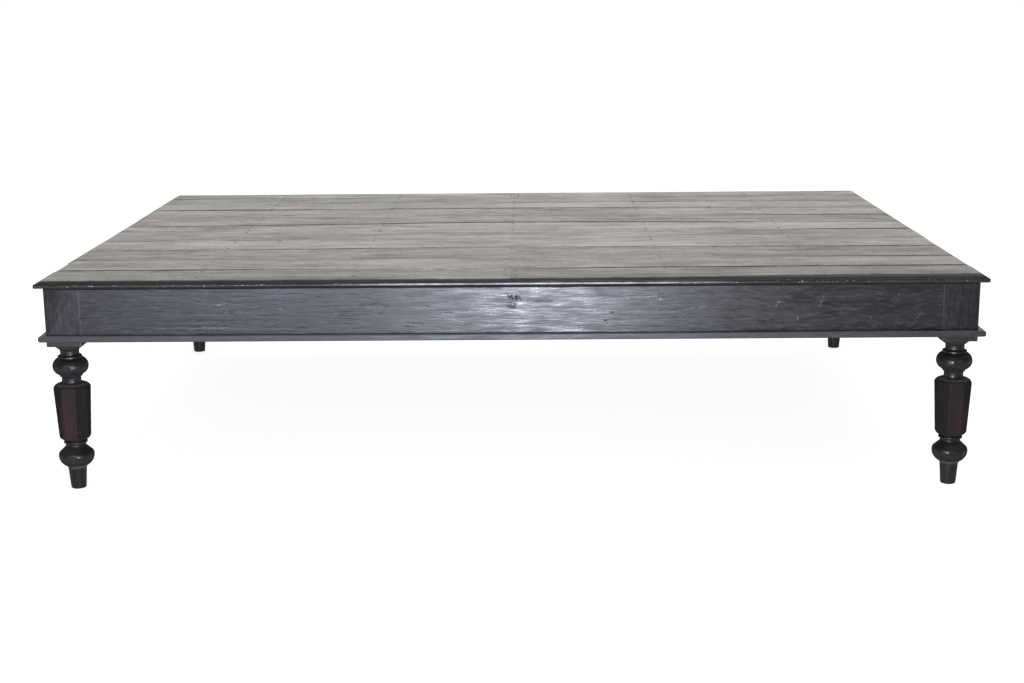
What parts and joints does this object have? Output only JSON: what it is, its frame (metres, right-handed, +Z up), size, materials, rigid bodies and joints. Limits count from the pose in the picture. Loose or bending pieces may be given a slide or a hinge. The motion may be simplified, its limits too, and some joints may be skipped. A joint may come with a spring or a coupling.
{
  "type": "coffee table",
  "caption": "Low rectangular teak table with a moulded board top, plain aprons, a lower moulding and turned legs planed to tapered octagons.",
  "frame": {"origin": "on the floor, under the middle of the table", "axes": "+X along the long side, -Y towards the front, +Z up"},
  "size_m": [2.1, 1.5, 0.486],
  "materials": {
    "weathered_top": "matte, weathered grey",
    "dark_frame": "satin black-brown polish",
    "plain_teak": "unfinished",
    "peg_wood": "unfinished, weathered"
  },
  "bodies": {
    "root": {"leg_front_left": "dark_frame", "leg_front_right": "dark_frame", "leg_back_left": "dark_frame", "leg_back_right": "dark_frame", "apron_front": "dark_frame", "apron_back": "dark_frame", "apron_left": "dark_frame", "apron_right": "dark_frame", "strip_front": "dark_frame", "strip_back": "dark_frame", "strip_left": "dark_frame", "strip_right": "dark_frame", "bearer_far_left": "plain_teak", "bearer_left": "plain_teak", "bearer_middle": "plain_teak", "bearer_right": "plain_teak", "bearer_far_right": "plain_teak", "board_01_left": "weathered_top", "board_01_right": "weathered_top", "board_02": "weathered_top", "board_03": "weathered_top", "board_04": "weathered_top", "board_05": "weathered_top", "board_06": "weathered_top", "board_07": "weathered_top", "board_08": "weathered_top", "board_09": "weathered_top", "board_10": "weathered_top", "board_11_left": "weathered_top", "board_11_right": "weathered_top", "top_pegs": "peg_wood", "lock_pegs": "peg_wood"}
  },
  "joints": []
}
